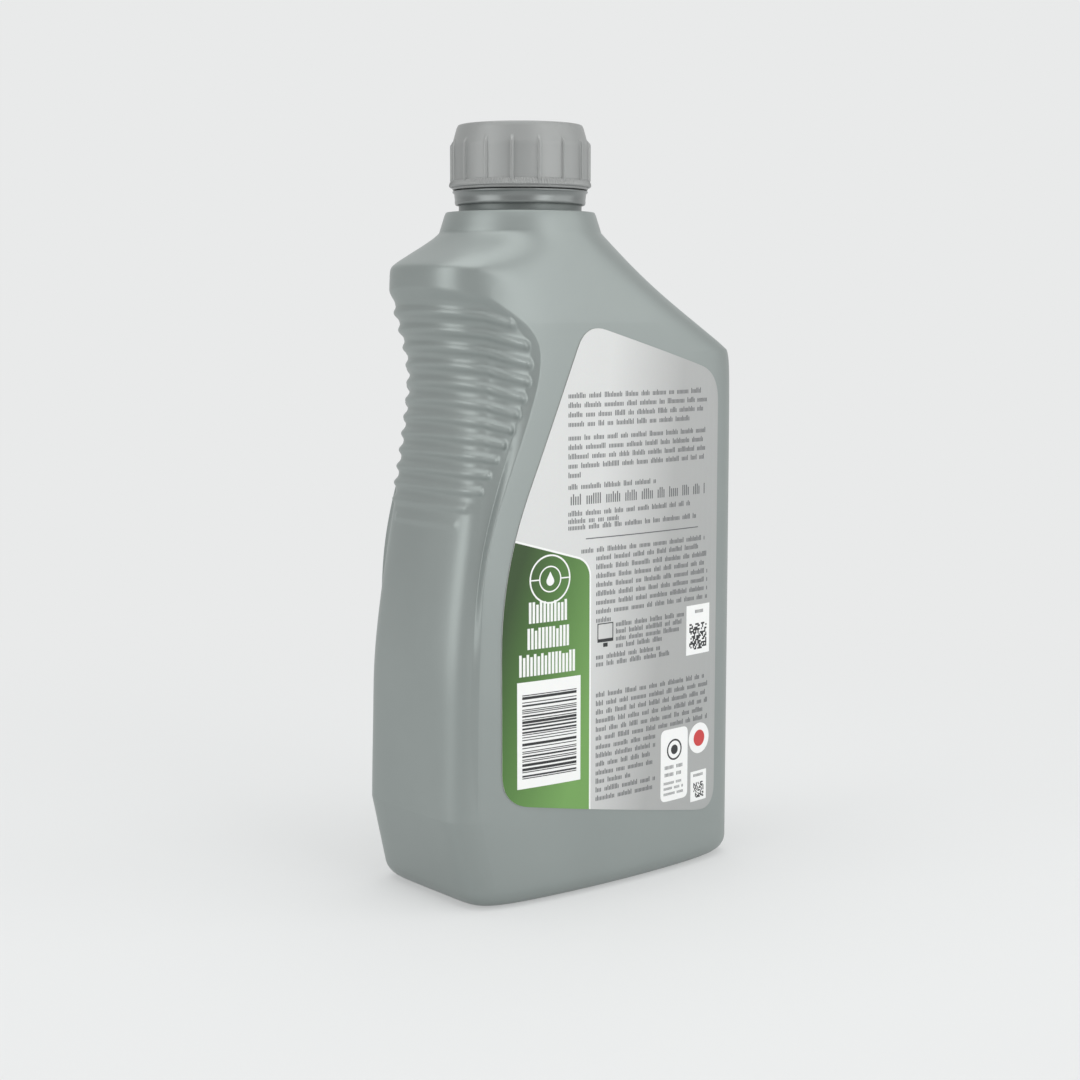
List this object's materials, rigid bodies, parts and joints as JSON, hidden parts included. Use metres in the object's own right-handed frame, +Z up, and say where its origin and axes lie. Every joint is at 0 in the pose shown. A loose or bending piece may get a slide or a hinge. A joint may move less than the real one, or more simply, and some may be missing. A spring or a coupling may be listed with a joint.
{
  "type": "motor oil bottle",
  "caption": "Blown plastic oil bottle with a ribbed side grip, an offset neck, a finned screw cap over a seal disc, a tamper band and a plain printed label.",
  "frame": {"origin": "middle of the base, on the surface the bottle stands on", "axes": "+Z up, X across the width with the grip on the -X side, -Y out of the labelled face"},
  "size_m": [0.1116, 0.0595, 0.228],
  "materials": {
    "bottle": "satin silver-grey blown plastic",
    "tamper_band": "satin light grey moulded plastic",
    "label": "smooth printed film, silver-white with a green panel",
    "cap_liner": "matt foamed disc",
    "cap": "satin mid-grey moulded plastic"
  },
  "bodies": {
    "bottle": {"bottle": "bottle", "tamper_band": "tamper_band", "label": "label"},
    "liner": {"cap_liner": "cap_liner"},
    "cap": {"cap": "cap"}
  },
  "joints": [
    {"name": "cap_rise", "type": "slide", "parent": "bottle", "child": "liner", "axis": [0, 0, 1], "range_m": [0, 0.018]},
    {"name": "cap_turn", "type": "hinge", "parent": "liner", "child": "cap", "pos_m": [-0.013, 0, 0.209], "axis": [0, 0, 1], "range_deg": [0, 1532]}
  ],
  "couplings": [
    {"joint": "cap_turn", "follows": "cap_rise", "rad_per_m": 1485.4}
  ]
}
